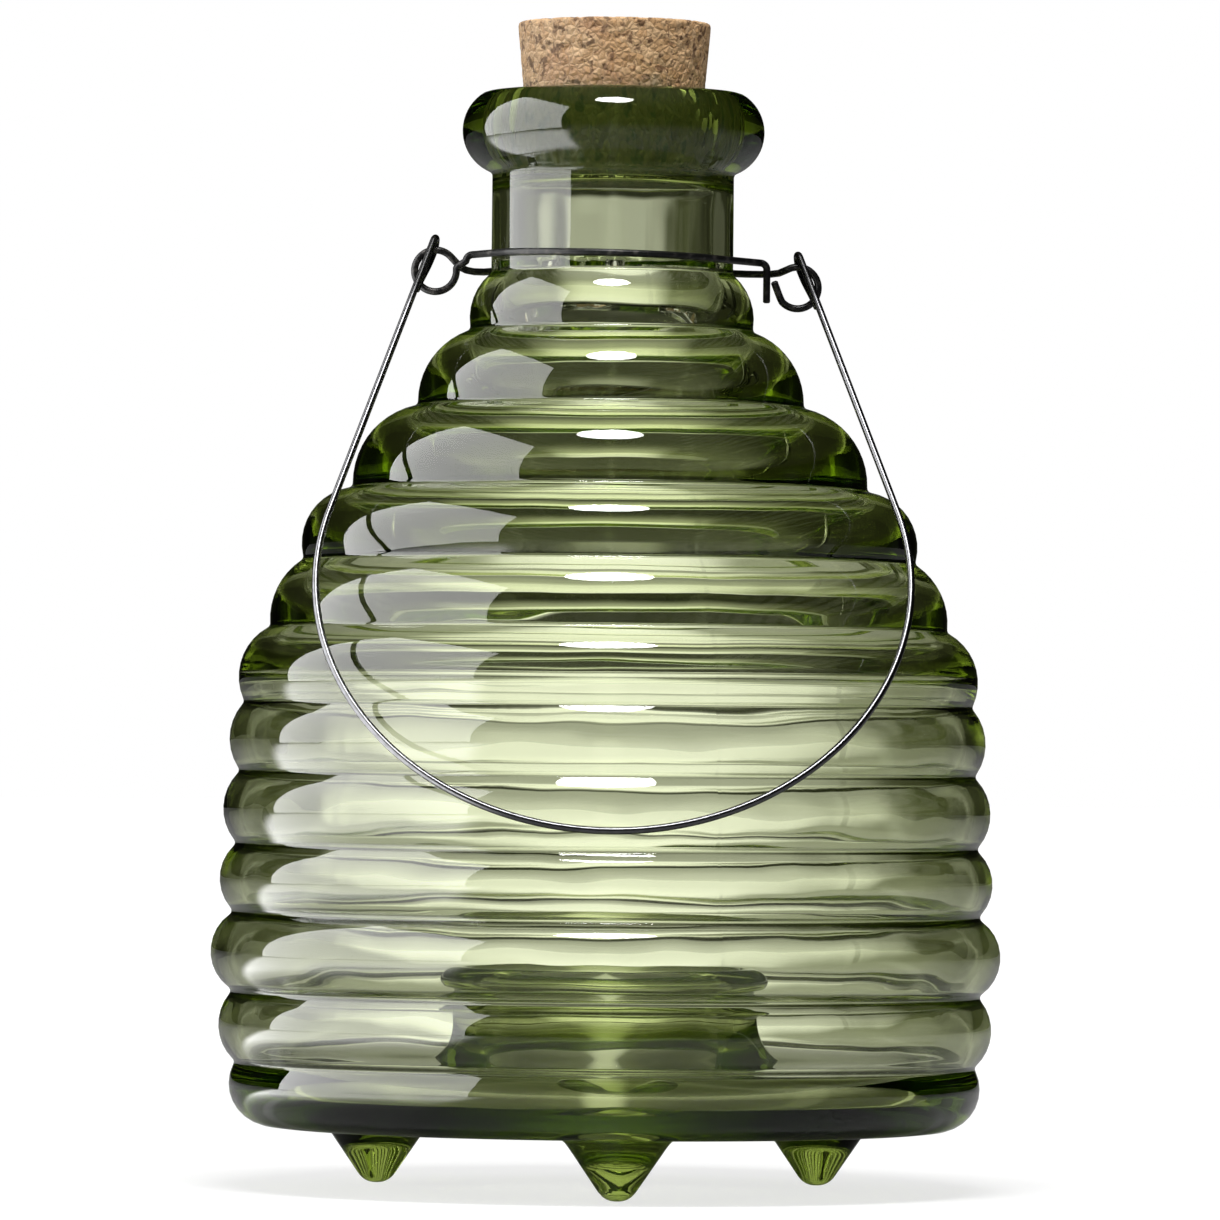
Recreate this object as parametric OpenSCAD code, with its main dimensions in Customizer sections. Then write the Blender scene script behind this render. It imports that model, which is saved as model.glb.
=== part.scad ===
// Hanging fly trap: a ringed glass bottle with an entry tube in its base, a cork, and a wire bail.
// Millimetres. +Z is up along the bottle's axis, the feet stand on z = 0, and the bail rests at -Y.

/* [Rings of the bottle] */
// Height of each ring's crest above the ground, from the neck down
ring_z = [155.5, 140.5, 126, 115, 101.5, 91, 80, 67.5, 55, 42, 29, 18.5]; // heights that fall by 10 to 16
// Radius of each ring at its crest
ring_r = [25.4, 34.5, 46, 55, 60.5, 66, 67.5, 68.5, 69, 70.5, 69, 67]; // [22:0.5:75]
// Radius of the round that each ring swells in
ring_bend = [10.5, 13.5, 14, 10, 12.5, 10, 9.5, 9, 8, 8, 8.5, 7.5]; // [7:0.5:15]
// Radius that softens the grooves between the rings
groove_round = 0.9; // [0.5:0.1:1.4]
// Thickness of the glass in the neck and across the rings below the shoulder
wall = 3; // [2:0.1:4]
// Thickness of the glass behind the shoulder's grooves
shoulder_wall = 2.6; // [1.8:0.1:3.2]
// Radius that softens the grooves on the inside
soft_groove = 2.5; // [1.5:0.1:3.5]
// Thickness of the base
base_wall = 5.5; // [3:0.1:7]
// Radius of the inside corner between the wall and the base
corner_r = 6; // [4:0.1:7]

/* [Neck and lip] */
// Outside diameter of the neck
neck_d = 43.2; // [40:0.2:46]
// Diameter of the lip's bead
lip_d = 54; // [51:0.5:57]
// Height of the bead's widest line
lip_z = 189; // [185:0.5:195]
// Radius of the bead's section
lip_bend = 7.9; // [6.5:0.1:9]

/* [Entry tube] */
// Bore of the tube that insects climb through
entry_d = 46; // [40:1:54]
// Thickness of the tube
entry_wall = 4; // [2.5:0.1:5]
// Height of the tube's rim above the ground
entry_top = 39; // [32:1:50]
// Radius of the bead that the tube's rim is rolled into
entry_rim = 3.2; // [2.4:0.1:4]
// Radius that the bore flares into the base with
entry_flare = 8; // [5:0.5:11]
// Share of the tube's height over which its outside swells into the base
entry_heel = 0.93; // [0.5:0.01:1]

/* [Feet] */
// Diameter of the circle that the feet stand on
foot_circle = 92; // [84:1:98]
// Width of a foot where it leaves the base
foot_d = 19.4; // [15:0.2:22]
// Radius of a foot's rounded tip
foot_round = 3.6; // [2:0.1:4.5]
// Diameter of the flat worn on a foot's tip
foot_flat = 0.6; // [0.4:0.2:3]
// Number of feet, evenly spaced
foot_count = 3; // [3:1:5]
// Angle of the front foot from the front, towards +X
foot_turn = 3; // [-30:1:30]

/* [Cork] */
// Diameter of the cork's top
cork_d = 34.7; // [32:0.1:36]
// Diameter of the cork's foot
cork_foot_d = 29.8; // [26:0.1:31]
// Length of the cork
cork_len = 28; // [22:0.5:34]
// Height of the cork's top above the lip's bead
cork_top = 11.6; // [8:0.2:15]
// Bevel round the cork's ends
cork_edge = 0.8; // [0.3:0.1:1.5]
// Gap between the cork and its seat in the mouth
cork_gap = 0.2; // [0.1:0.05:0.4]

/* [Collar wire] */
// Diameter of the collar's wire
collar_d = 1.3; // [1:0.1:1.5]
// Gap between the collar's wire and the neck
collar_gap = 0.15; // [0.1:0.05:0.4]
// Height of the collar above the neck's foot
collar_z = 2.3; // [1.5:0.1:4]
// Radius of the eyes that carry the bail, at the middle of the wire
eye_r = 3.75; // [3.5:0.05:4.5]
// Angle from an eye's top to the point that the bail hangs on
eye_lead = 10; // [0:1:15]
// Angles at which the left eye starts and ends
left_eye = [10, -320]; // [-360:5:180]
// Angles at which the right eye starts and ends
right_eye = [120, -140]; // [-360:5:180]
// Distance between two wire runs where they pass each other
strand_step = 1.6; // [1.5:0.1:2]
// Distance from each hinge point to the bend beside it in the front run
bend_x = 6.1; // [5.5:0.1:7]
// Radius of the front run's bends
bend_r = 1.2; // [0.8:0.1:1.6]
// How far the front run lies below the left hinge point, and above the right one
front_dip = 0.8; // [0.5:0.1:1.2]
// How far the back run leaves the left eye below its hinge point
back_dip = 4; // [3:0.1:5]
// Length of the front run's hooked end
hook_len = 7; // [5:0.5:9]

/* [Bail] */
// Diameter of the bail's wire
bail_d = 1.3; // [1:0.1:1.6]
// Distance from the middle to each hinge point
pivot_x = 33; // [31:0.5:36]
// How far the hand-bent wires sit to one side
wire_shift = 0.75; // [-2:0.25:2]
// How much lower the right eye sits than the left, along the bail
eye_drop = 3; // [0:0.25:4]
// Length from the hinge to the bottom of the bow
bail_len = 123; // [118:1:128]
// Radius of the bow
bow_r = 52; // [48:0.5:56]
// Half the width of the bail's end loops, at the middle of the wire
link_r = 1.8; // [1.7:0.05:2.2]
// How far past the hinge point the end loop's round starts
loop_tip = 0.6; // [0.4:0.1:1]
// Length of the wire's end that lies back along the leg
loop_len = 9.5; // [8:0.5:12]
// Gap between that end and the leg
lay_gap = 0.1; // [0.05:0.05:0.3]
// Gap between the resting bail and the glass
rest_gap = 0.5; // [0.4:0.05:0.8]

/* [Hidden] */
$fn = 96;
wire_sides = 10;
arc_step = 20;
hoop_step = 10;
bow_steps = 36;
lay_steps = 6;
curve_steps = 4;
first_side = [0.2, 0.3, 1];
// First ring below the shoulder, counted from 0 at the neck
waist = 5;
// How far the blanks and cutters reach past a round, and how deep touching rounds bite
blank_reach = 3;
cut_reach = 1.5;
bite = 0.02;

// Outline of the bottle
last = len(ring_z) - 1;
neck_r = neck_d / 2;
base_z = ring_z[last] - ring_bend[last];
lip_c = [lip_d / 2 - lip_bend, lip_z];
lip_above = lip_c + lip_bend * [-1, 2];
neck_top = tangent_round(neck_r, lip_c, lip_bend, -1);
neck_foot = tangent_round(neck_r, ring_c(0), ring_bend[0], 1);
outside = 2 * ring_r[last];
floor_z = base_z + base_wall;

// Outline of the entry tube
bore_r = entry_d / 2;
tube_r = bore_r + entry_wall;
flare_c = [bore_r, base_z] + entry_flare * [1, 1];
heel_r = entry_heel * (entry_top - 2 * entry_rim - floor_z);
heel_c = [tube_r, floor_z] + heel_r * [1, 1];
rim_c = [bore_r, entry_top] + entry_rim * [1, -1];
under_rim = tangent_round(tube_r, rim_c, entry_rim, -1);

// Cork and its seat
cork_foot = lip_z + lip_bend + cork_top - cork_len;
cork_slope = (cork_d - cork_foot_d) / 2 / cork_len;
seat_r = cork_foot_d / 2 + cork_gap;
bore_in_neck = neck_r - wall;

// Wires
hoop_r = neck_r + collar_gap + collar_d / 2;
hinge_z = neck_foot[1] + collar_z;
reach = norm([bail_len, link_r]);
rest_angle = max([for (i = [0 : last]) each rest_on(i)]);
lean = rest_angle - atan(link_r / bail_len);
bow_c = [0, bail_len - bow_r];
hinges = [for (side = [-1, 1]) bail_point([side * pivot_x, side * eye_drop / 2, 0])];

echo(hinge_left = hinges[0], hinge_right = hinges[1], lean = lean, swing = 360 - 2 * rest_angle);

// Centre of a ring's round section, as radius and height
function ring_c(i) = [ring_r[i] - ring_bend[i], ring_z[i]];

function unit(v) = v / norm(v);

// Point at distance ra from a and rb from b, on the left of the way from a to b
function meet(a, ra, b, rb) =
    let (d = norm(b - a), u = (b - a) / d, along = (d * d + ra * ra - rb * rb) / (2 * d))
    a + u * along + [-u[1], u[0]] * sqrt(ra * ra - along * along);

// Angle from straight down at which the bail comes to rest on a ring that its bow can reach
function rest_on(i) =
    let (
        hub = ring_c(i) - [0, hinge_z],
        d = norm(hub),
        touch = ring_bend[i] + bail_d / 2 + rest_gap,
        cosine = (d * d + reach * reach - touch * touch) / (2 * d * reach)
    )
    [if (cosine < 1) atan2(hub[0], -hub[1]) + acos(cosine)];

// Centre of the round that joins an upright wall to a bead or ring, above it or below it
function tangent_round(wall_r, c, bend, way) =
    let (r = wall_r + groove_round, reach = bend + groove_round)
    [r, c[1] + way * sqrt(reach * reach - (r - c[0]) * (r - c[0]))];

// Centre of the round in the groove below ring i, with the neck above and the base below
function groove_c(i) =
    i < 0 ? neck_foot
    : i == last ? [ring_c(last)[0], 0]
    : meet(ring_c(i), ring_bend[i] + groove_round, ring_c(i + 1), ring_bend[i + 1] + groove_round);

// Corner of the blank outside a round, midway between the points where it starts and ends
function apex(c, bend, above, below) = c + blank_reach * bend * unit(unit(above - c) + unit(below - c));

function ring_apex(i) = apex(ring_c(i), ring_bend[i], groove_c(i - 1), groove_c(i));

lip_apex = lip_c + blank_reach * lip_bend * [1, 0];

// What is cut off a blank to leave a round: the wedge between two grooves, outside the round.
// Touching rounds bite into each other a little, so that they cross cleanly.
module outside_of(c, bend, above, outer, below) {
    difference() {
        polygon([c, above, c + cut_reach * (outer - c), below]);
        translate(c)
            circle(bend);
    }
}

// The blank's outline from the neck's foot to the base
function ring_blank() = concat(
    [neck_foot],
    [for (i = [0 : last]) each [ring_apex(i), groove_c(i)]],
    [[0, 0]]
);

// Half section of the whole bottle with nothing hollowed out, turned from its blank
module outer_section() {
    difference() {
        polygon(concat(
            [[0, lip_above[1]], lip_above, lip_apex, neck_top, [neck_r, neck_top[1]], [neck_r, neck_foot[1]]],
            ring_blank()
        ));
        translate(neck_top)
            circle(groove_round + bite);
        outside_of(lip_c, lip_bend, lip_above, lip_apex, neck_top);
        for (i = [-1 : last - 1])
            translate(groove_c(i))
                circle(groove_round + bite);
        for (i = [0 : last])
            outside_of(ring_c(i), ring_bend[i], groove_c(i - 1), ring_apex(i), groove_c(i));
        square([outside, base_z]);
    }
}

// Inside of a ring: the same round moved in by the wall, with the corner above the base as the last one
function inner_c(i) =
    i == last ? [ring_r[last] - wall - corner_r, floor_z + corner_r] : ring_c(i) - [wall, 0];

function inner_bend(i) = i == last ? corner_r : ring_bend[i];

function inner_groove(i) =
    meet(inner_c(i), inner_bend(i) + soft_groove, inner_c(i + 1), inner_bend(i + 1) + soft_groove);

// Points where the inside of a ring starts and ends
function inner_above(i) = i == waist ? inner_c(i) + [inner_bend(i), 0] : inner_groove(i - 1);

function inner_below(i) = i == last ? inner_c(i) - [0, corner_r] : inner_groove(i);

function inner_apex(i) = apex(inner_c(i), inner_bend(i), inner_above(i), inner_below(i));

// Point inside the wall behind the groove below ring i
function behind_groove(i) =
    let (u = unit(ring_c(i + 1) - ring_c(i)))
    groove_c(i) + (groove_round + shoulder_wall) * [u[1], -u[0]];

// Points that the inside of the shoulder runs through, from the neck to the first ring below it
shoulder_knots = concat(
    [[bore_in_neck, neck_foot[1] + wall], [bore_in_neck, neck_foot[1]]],
    [for (i = [0 : waist - 1]) behind_groove(i)],
    [inner_above(waist) + [0, groove_round], inner_above(waist)]
);

// Smooth curve through a list of points
function curve(p) = concat(
    [p[0]],
    [for (i = [0 : len(p) - 2])
        let (a = p[max(i - 1, 0)], b = p[i], c = p[i + 1], d = p[min(i + 2, len(p) - 1)])
            for (k = [1 : curve_steps])
                let (t = k / curve_steps)
                    b + (c - a) / 2 * t + (a - 2.5 * b + 2 * c - d / 2) * t * t
                    + (1.5 * (b - c) + (d - a) / 2) * t * t * t]
);

// Half section of the space inside, smooth in the shoulder and ringed below it
module chamber_section() {
    difference() {
        polygon(concat(
            [[0, cork_foot], [seat_r, cork_foot], [bore_in_neck, cork_foot - bore_in_neck + seat_r]],
            curve(shoulder_knots),
            [for (i = [waist : last]) each [inner_apex(i), inner_below(i)]],
            [[0, floor_z]]
        ));
        for (i = [waist : last - 1])
            translate(inner_groove(i))
                circle(soft_groove + bite);
        for (i = [waist : last])
            outside_of(inner_c(i), inner_bend(i), inner_above(i), inner_apex(i), inner_below(i));
        tube_section();
    }
}

// Half section of the entry tube with its bore filled: upright wall, rolled rim and swelling foot
module tube_section() {
    square([tube_r, rim_c[1]]);
    translate(rim_c)
        circle(entry_rim);
    difference() {
        polygon([rim_c, under_rim, [bore_r, under_rim[1]]]);
        translate(under_rim)
            circle(groove_round + bite);
    }
    flare(heel_c, heel_r);
}

// Corner between a tube and the base, rounded off about a centre
module flare(c, radius) {
    difference() {
        square(c);
        translate(c)
            circle(radius);
    }
}

// Tapered seat that the cork is pushed into, open at the top
module mouth_section() {
    below = wall;
    above = lip_above[1] - cork_foot;
    polygon([
        [0, cork_foot - below],
        [seat_r - cork_slope * below, cork_foot - below],
        [seat_r + cork_slope * above, cork_foot + above],
        [0, cork_foot + above]
    ]);
}

module foot() {
    r = foot_d / 2;
    tip_c = [foot_flat / 2, foot_round];
    edge = [r, base_z];
    gap = edge - tip_c;
    side = atan2(gap[1], gap[0]) - acos(foot_round / norm(gap));
    touch = tip_c + foot_round * [cos(side), sin(side)];
    corner = touch + (edge - touch) * touch[1] / (touch[1] - edge[1]);
    rotate_extrude()
        difference() {
            polygon([[0, 0], corner, edge, [r, base_z + wall / 2], [0, base_z + wall / 2]]);
            outside_of(tip_c, foot_round + bite, [foot_flat / 2, 0], corner, touch);
        }
}

module glass_bottle() {
    color("olivedrab") {
        rotate_extrude()
            difference() {
                outer_section();
                chamber_section();
                mouth_section();
                square([bore_r, entry_top]);
                flare(flare_c, entry_flare);
            }
        for (k = [0 : foot_count - 1])
            rotate(foot_turn - 90 + 360 * k / foot_count)
                translate([foot_circle / 2, 0])
                    foot();
    }
}

module cork_stopper() {
    r = cork_d / 2;
    foot_r = cork_foot_d / 2;
    color("burlywood")
        translate([0, 0, cork_foot])
            rotate_extrude()
                polygon([
                    [0, 0],
                    [foot_r - cork_edge, 0],
                    [foot_r + cork_slope * cork_edge, cork_edge],
                    [r - cork_slope * cork_edge, cork_len - cork_edge],
                    [r - cork_edge, cork_len],
                    [0, cork_len]
                ]);
}

// Directions square to each stretch of a path, carried along it with no twist
function carried(path, i = 0, held = first_side) =
    i > len(path) - 1 ? []
    : let (t = heading(path, i), n = unit(held - t * (held * t)))
      concat([n], carried(path, i + 1, n));

function heading(path, i) = unit(path[min(i + 1, len(path) - 1)] - path[max(i - 1, 0)]);

// Round wire along a path of points
module wire(path, d) {
    n = len(path);
    normals = carried(path);
    points = [
        for (i = [0 : n - 1])
            let (t = heading(path, i), u = normals[i], v = cross(t, u))
                for (k = [0 : wire_sides - 1])
                    let (a = 360 * k / wire_sides)
                        path[i] + d / 2 * (u * cos(a) + v * sin(a))
    ];
    sides = [
        for (i = [0 : n - 2])
            for (k = [0 : wire_sides - 1])
                let (a = i * wire_sides + k, b = i * wire_sides + (k + 1) % wire_sides)
                    each [[b, a, a + wire_sides], [b, a + wire_sides, b + wire_sides]]
    ];
    ends = [
        [for (k = [0 : wire_sides - 1]) k],
        [for (k = [wire_sides - 1 : -1 : 0]) (n - 1) * wire_sides + k]
    ];
    polyhedron(points, concat(sides, ends));
}

// Points along an upright arc at one depth
function upright_arc(c, r, from, to, y) =
    let (n = ceil(abs(to - from) / arc_step))
    [for (k = [0 : n])
        let (a = from + (to - from) * k / n)
            [c[0] + r * cos(a), y, c[1] + r * sin(a)]];

// Points round an eye that passes a hinge point at the angle top, stepping one wire pass aside in each turn
function eye_arc(hinge, top, turn, way) =
    let (n = ceil((turn[0] - turn[1]) / arc_step))
    [for (k = [0 : n])
        let (a = turn[0] + (turn[1] - turn[0]) * k / n, aside = way * strand_step * (top - a) / 360)
            hinge + [eye_r * (cos(a) - cos(top)), aside, eye_r * (sin(a) - sin(top))]];

// Angle round the neck at which a straight run to a point leaves it, counted from +X or from half a turn on
function leaving(p, way, half = 0) = half + atan(p[1] / p[0]) + way * acos(hoop_r / norm([p[0], p[1]]));

// Points round the neck from one side's run to the other's
function hoop_arc(from, to, z_from, z_to) =
    let (n = ceil(abs(to - from) / hoop_step), r = hoop_r / cos((to - from) / n / 2))
    [for (k = [0 : n])
        let (a = from + (to - from) * k / n)
            [r * cos(a), r * sin(a), z_from + (z_to - z_from) * k / n]];

module neck_collar() {
    left = hinges[0];
    right = hinges[1];
    hook = right + [-bend_x, strand_step, front_dip];
    corner = left + [bend_x, -strand_step, -front_dip];
    back_left = left + [bend_x, strand_step, -back_dip];
    back_right = [hook[0] + collar_d, hook[1] + strand_step, right[2] - collar_d];
    catch = right + [-bend_x + collar_d, -strand_step, -back_dip + bend_r];
    back_z = neck_foot[1] + collar_d / 2 + collar_gap;
    color("#202020")
        wire(concat(
            [hook - [0, 0, hook_len]],
            upright_arc([hook[0] - bend_r, hook[2] - bend_r], bend_r, 0, 90, hook[1]),
            hoop_arc(leaving(hook, -1), leaving(corner, 1, -180), hook[2], corner[2]),
            upright_arc([corner[0] + bend_r, corner[2] - bend_r], bend_r, 90, 180, corner[1]),
            eye_arc(left, eye_lead - 270, left_eye, 1),
            [back_left],
            hoop_arc(leaving(back_left, -1, 180), leaving(back_right, 1), back_z, back_z),
            [back_right],
            eye_arc(right, 90 - eye_lead, right_eye, -1),
            [catch]
        ), collar_d);
}

// A point of the bail, given across, along and square to its plane, placed where the bail rests
function bail_point(p) =
    [p[0] + wire_shift,
     -p[1] * sin(lean) - p[2] * cos(lean),
     hinge_z - p[1] * cos(lean) + p[2] * sin(lean)];

// Where the straight leg from a hinge point meets the bow
function leg_end(hinge, side) =
    let (gap = hinge - bow_c, turn = acos(bow_r / norm(gap)), a = atan2(gap[1], gap[0]) + side * turn)
    bow_c + bow_r * [cos(a), sin(a)];

// Smooth step from 0 to 1
function ease(t) = t * t * (3 - 2 * t);

// One end loop: the wire's end lies against the leg, leaves it and rounds the hinge
function end_loop(hinge, side) =
    let (
        down = unit(leg_end(hinge, side) - hinge),
        laid = link_r - bail_d - lay_gap,
        run = [for (k = [0 : lay_steps - 1])
            let (t = k / lay_steps)
                [loop_len * (1 - t), laid - (laid + link_r) * ease(t)]],
        turn = [for (a = [0 : arc_step : 180]) [-loop_tip - link_r * sin(a), -link_r * cos(a)]]
    )
    [for (p = concat(run, turn)) [hinge[0] + down[0] * p[0], hinge[1] + down[1] * p[0], p[1]]];

function reversed(list) = [for (i = [len(list) - 1 : -1 : 0]) list[i]];

module bail_handle() {
    left = [-pivot_x, -eye_drop / 2];
    right = [pivot_x, eye_drop / 2];
    from = leg_end(left, -1) - bow_c;
    to = leg_end(right, 1) - bow_c;
    a_from = atan2(from[1], from[0]) + 360;
    sweep = atan2(to[1], to[0]) - a_from;
    bow = [for (k = [0 : bow_steps])
        let (a = a_from + sweep * k / bow_steps)
            [bow_c[0] + bow_r * cos(a), bow_c[1] + bow_r * sin(a), link_r]];
    path = concat(end_loop(left, -1), bow, reversed(end_loop(right, 1)));
    color("silver")
        wire([for (p = path) bail_point(p)], bail_d);
}

glass_bottle();
cork_stopper();
neck_collar();
bail_handle();
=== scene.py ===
"""A hanging glass fly trap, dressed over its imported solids: bottle, cork, wire collar and wire bail."""

import logging
import math
from dataclasses import dataclass
from enum import Enum
from typing import Iterable, Sequence

import bpy
import numpy as np
from bpy.types import ID, Material, Node, NodeSocket, NodeTree, Object
from mathutils import Matrix, Vector, noise


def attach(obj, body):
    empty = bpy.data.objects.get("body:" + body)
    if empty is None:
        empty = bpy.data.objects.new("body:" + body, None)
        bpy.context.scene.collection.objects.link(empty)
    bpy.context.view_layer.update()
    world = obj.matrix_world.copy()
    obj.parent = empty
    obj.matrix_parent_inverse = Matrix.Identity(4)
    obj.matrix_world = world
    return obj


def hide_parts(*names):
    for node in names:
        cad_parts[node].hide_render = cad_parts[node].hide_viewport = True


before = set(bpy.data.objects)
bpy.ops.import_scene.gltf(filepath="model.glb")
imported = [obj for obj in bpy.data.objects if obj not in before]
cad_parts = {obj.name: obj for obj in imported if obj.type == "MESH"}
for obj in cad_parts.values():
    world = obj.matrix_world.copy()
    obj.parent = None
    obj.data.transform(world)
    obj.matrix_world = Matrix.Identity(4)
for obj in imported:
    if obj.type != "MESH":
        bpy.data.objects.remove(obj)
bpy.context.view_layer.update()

MM = 0.001
HAIR = 1e-6
ARC_PIECES = 4
CURVE_PIECES = 2
MIX_INPUTS = (0, 6, 7)
MIX_RESULT = 2
WHITE = (1.0, 1.0, 1.0)
OFF_AXIS = (0.2, 0.3, 1.0)
LOG = logging.getLogger("fly_trap")

Point = tuple[float, float]
Span = tuple[float, float]
Colour = tuple[float, float, float]


class Body(Enum):
    """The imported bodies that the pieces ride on."""

    BOTTLE = "bottle"
    BAIL = "bail"
    CORK = "cork"


class Slot(Enum):
    """The record's material slots."""

    GLASS = "green_glass"
    CORK = "cork"
    BLACK_WIRE = "black_wire"
    BRIGHT_WIRE = "bright_wire"


class Turn(Enum):
    """The way an arc is drawn."""

    LEFT = 1
    RIGHT = -1


class Flow:
    """A value on its way through a shader: one output socket, with arithmetic that adds nodes."""

    def __init__(self, shader: "Shader", socket: NodeSocket) -> None:
        """Wraps one output socket of the shader's tree."""
        self.shader = shader
        self.socket = socket

    def _math(self, operation: str, first: "Flow | float", second: "Flow | float") -> "Flow":
        """Adds the node for one operation, by the kind of value that this flow carries.

        Args:
            operation: Name of the operation.
            first: Left operand.
            second: Right operand.

        Returns:
            The node's result.
        """
        if self.socket.type == "VECTOR":
            operands = [(v,) * 3 if isinstance(v, (int, float)) else v for v in (first, second)]
            inputs = dict(enumerate(operands))
            return self.shader.node("VectorMath", {"operation": operation}, inputs)
        return self.shader.node("Math", {"operation": operation}, {0: first, 1: second})

    def __add__(self, other: "Flow | float") -> "Flow":
        """self + other."""
        return self._math("ADD", self, other)

    def __sub__(self, other: "Flow | float") -> "Flow":
        """self - other."""
        return self._math("SUBTRACT", self, other)

    def __rsub__(self, other: float) -> "Flow":
        """other - self."""
        return self._math("SUBTRACT", other, self)

    def __mul__(self, other: "Flow | float") -> "Flow":
        """self * other."""
        return self._math("MULTIPLY", self, other)

    __radd__, __rmul__ = __add__, __mul__

    def __pow__(self, other: float) -> "Flow":
        """self ** other."""
        return self._math("POWER", self, other)

    def most(self, other: "Flow | float") -> "Flow":
        """The larger of this value and another."""
        return self._math("MAXIMUM", self, other)

    def cosine(self) -> "Flow":
        """The cosine of this angle."""
        return self._math("COSINE", self, 0.0)

    def rise(self, low: float, high: float) -> "Flow":
        """0 below low, 1 above high and a smooth step between them."""
        inputs = {"Value": self, "From Min": low, "From Max": high}
        return self.shader.node("MapRange", {"interpolation_type": "SMOOTHSTEP"}, inputs)


class Shader:
    """A node tree under construction, for a material or for the world."""

    def __init__(self, tree: NodeTree) -> None:
        """Takes over an empty or default node tree and clears it."""
        self.tree = tree
        tree.nodes.clear()

    def raw(self, kind: str, settings: dict | None = None, inputs: dict | None = None) -> Node:
        """Adds one node.

        Args:
            kind: The node's type, without the word ShaderNode before it.
            settings: Attributes set before the inputs.
            inputs: Values or flows for the input sockets, by name or number.

        Returns:
            The node.
        """
        made = self.tree.nodes.new("ShaderNode" + kind)
        for name, value in (settings or {}).items():
            setattr(made, name, value)
        for key, value in (inputs or {}).items():
            self.feed(made.inputs[key], value)
        return made

    def node(self, kind: str, settings: dict | None = None, inputs: dict | None = None,
             output: int | str = 0) -> Flow:
        """Adds one node and returns one of its outputs as a flow."""
        return Flow(self, self.raw(kind, settings, inputs).outputs[output])

    def feed(self, socket: NodeSocket, value: "Flow | float | Sequence[float]") -> None:
        """Links a flow to a socket, or sets a plain value on it.

        Args:
            socket: The input socket.
            value: The flow, number, colour or vector that it takes.
        """
        if isinstance(value, Flow):
            self.tree.links.new(value.socket, socket)
        elif socket.type == "RGBA" and len(value) == 3:
            socket.default_value = (*value, 1.0)
        else:
            socket.default_value = value

    def mix(self, factor: "Flow | float", first: "Flow | Colour", second: "Flow | Colour") -> Flow:
        """A colour between two colours."""
        inputs = dict(zip(MIX_INPUTS, (factor, first, second)))
        return self.node("Mix", {"data_type": "RGBA"}, inputs, MIX_RESULT)

    def cells(self, place: Flow, scale: float, feature: str, output: str) -> Flow:
        """One answer of a Voronoi node, for grains and the seams between them."""
        inputs = {"Vector": place, "Scale": scale}
        return self.node("TexVoronoi", {"feature": feature}, inputs, output)

    def bump(self, height: Flow, strength: float, depth: float) -> Flow:
        """Normals that tilt as if the surface rose and fell with the height."""
        return self.node("Bump", inputs={"Strength": strength, "Distance": depth, "Height": height})

    def axes(self, vector: Flow) -> list[Flow]:
        """The three parts of a vector."""
        parts = self.raw("SeparateXYZ", inputs={"Vector": vector})
        return [Flow(self, parts.outputs[name]) for name in "XYZ"]

    def finish(self, **inputs: Flow) -> None:
        """Ends a material's tree with its surface, and its volume if it has one."""
        self.raw("OutputMaterial", inputs=inputs)

    def place(self) -> Flow:
        """The point on the surface, in metres, before the object moves."""
        return self.node("TexCoord", output="Object")

    def path(self, kind: str) -> Flow:
        """One of the light path's answers."""
        return self.node("LightPath", output=kind)

    def mirrored(self) -> Flow:
        """1 for what a shiny surface mirrors, without what is seen through glass."""
        return self.path("Is Glossy Ray") * (1 - self.path("Is Transmission Ray"))


@dataclass(frozen=True)
class Cloud:
    """A cloudy pattern around 0.5: its fineness, its detail, and the edges that it rises between."""

    grain: float
    detail: float = 3.0
    edge: Span | None = None

    def on(self, place: Flow) -> Flow:
        """The pattern at a place.

        Args:
            place: The point on the surface.

        Returns:
            The pattern's value there.
        """
        inputs = {"Vector": place, "Scale": self.grain, "Detail": self.detail}
        made = place.shader.node("TexNoise", inputs=inputs)
        return made.rise(*self.edge) if self.edge else made


def new_shader(name: str) -> tuple[Material, Shader]:
    """Makes an empty material.

    Args:
        name: The material's name.

    Returns:
        The material and its node tree, ready to be filled.
    """
    material = bpy.data.materials.new(name)
    material.use_nodes = True
    return material, Shader(material.node_tree)


@dataclass(frozen=True)
class GreenGlass:
    """Thick olive-green glass that takes colour off the light by its depth."""

    take_off: Colour = (0.375, 0.268, 0.97)
    density: float = 92.0
    bend: float = 1.5
    ripple: Cloud = Cloud(60.0, 2.0)
    ripple_depth: float = 0.3 * MM
    ripple_strength: float = 0.08
    smear: Cloud = Cloud(35.0, 4.0, (0.55, 0.8))
    smear_rough: float = 0.03

    def material(self) -> Material:
        """The glass, with a faint ripple from the mould and slight smears.

        Returns:
            The material, ready to be put on a piece.
        """
        material, s = new_shader("green_glass")
        place = s.place()
        surface = s.node("BsdfPrincipled", inputs={
            "Base Color": WHITE,
            "Roughness": self.smear.on(place) * self.smear_rough,
            "IOR": self.bend,
            "Transmission Weight": 1.0,
            "Normal": s.bump(self.ripple.on(place), self.ripple_strength, self.ripple_depth),
        })
        inside = s.node("VolumeAbsorption", inputs={
            "Color": tuple(1 - c for c in self.take_off),
            "Density": self.density,
        })
        s.finish(Surface=surface, Volume=inside)
        return material


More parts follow.
